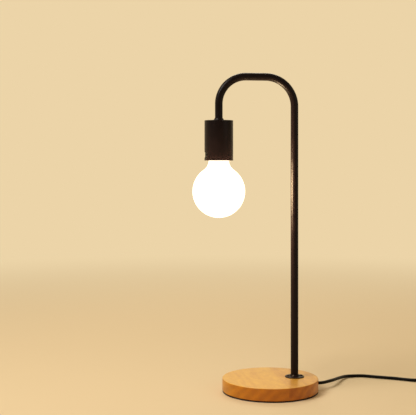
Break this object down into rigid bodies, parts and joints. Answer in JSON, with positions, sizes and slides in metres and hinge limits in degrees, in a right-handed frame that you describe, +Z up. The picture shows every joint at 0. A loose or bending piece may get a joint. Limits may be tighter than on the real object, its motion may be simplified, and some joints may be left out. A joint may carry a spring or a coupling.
{
  "type": "desk lamp",
  "caption": "Desk lamp with a round wooden base, a black bent tube that arches over, a metal cup lampholder with a globe bulb hanging from it, and a cord with switch and plug.",
  "frame": {"origin": "centre of the underside of the base's pad", "axes": "+Z up, +X from the base's centre towards the post; the bulb hangs on the -X side and the arch lies in the plane Y = 0"},
  "size_m": [0.553, 0.2, 0.498],
  "materials": {
    "lacquered_wood": "satin lacquer",
    "pad_foam": "matte",
    "black_paint": "semi-gloss powder coat",
    "black_screw": "black zinc",
    "black_plastic": "fine moulded",
    "zinc_screw": "zinc plated",
    "zinc_steel": "zinc plated",
    "cord_pvc": "smooth PVC",
    "core_pvc": "smooth PVC",
    "white_ceramic": "unglazed",
    "nickel_brass": "nickel plated",
    "brass_contact": "stamped",
    "opal_glass": "opal white, lit",
    "bulb_cap_metal": "rolled",
    "black_glass": "glossy",
    "tin_tip": "tinned",
    "clear_glass": "clear",
    "led_phosphor": "phosphor coating",
    "plug_pvc": "moulded PVC",
    "tie_rubber": "matte"
  },
  "bodies": {
    "lamp": {"wood_base": "lacquered_wood", "base_pad": "pad_foam", "base_flange": "black_paint", "flange_screws": "black_screw", "cord_grommet": "black_plastic", "cord_clamp": "black_plastic", "clamp_screws": "zinc_screw", "lamp_tube": "black_paint", "inner_cord": "cord_pvc", "cup_collar": "black_paint", "socket_cup": "black_paint", "holder_nipple": "zinc_steel", "holder_nut": "zinc_steel", "holder_cap": "black_plastic", "holder_skirt": "black_plastic", "holder_insert": "white_ceramic", "screw_shell": "nickel_brass", "centre_contact": "brass_contact", "terminal_screws": "zinc_screw", "core_wires": "core_pvc", "switch_lower_cover": "black_plastic", "switch_upper_cover": "black_plastic", "switch_contacts": "brass_contact", "switch_screws": "zinc_screw", "switch_cord_ends": "cord_pvc", "plug_body": "plug_pvc", "plug_pins": "nickel_brass", "pin_sleeves": "black_plastic", "cord_lead": "cord_pvc", "cord_run": "cord_pvc", "cord_coil": "cord_pvc", "cord_tail": "cord_pvc", "coil_tie": "tie_rubber"},
    "bulb_tip": {"bulb_tip": "tin_tip"},
    "bulb": {"bulb_globe": "opal_glass", "bulb_cap": "bulb_cap_metal", "bulb_insulator": "black_glass", "bulb_stem": "clear_glass", "led_filaments": "led_phosphor"},
    "switch_rocker": {"switch_rocker": "black_plastic"}
  },
  "joints": [
    {"name": "bulb_drop", "type": "slide", "parent": "lamp", "child": "bulb_tip", "axis": [0, 0, -1], "range_m": [0, 0.0291]},
    {"name": "bulb_turn", "type": "hinge", "parent": "bulb_tip", "child": "bulb", "pos_m": [-0.0815, 0, 0.38], "axis": [0, 0, -1], "range_deg": [0, 2880]},
    {"name": "switch_rocker_tilt", "type": "hinge", "parent": "lamp", "child": "switch_rocker", "pos_m": [0.309, 0.022, 0.0122], "axis": [0, 1, 0], "range_deg": [0, 20]}
  ],
  "couplings": [
    {"joint": "bulb_drop", "follows": "bulb_turn", "m_per_rad": 0.0005775}
  ]
}
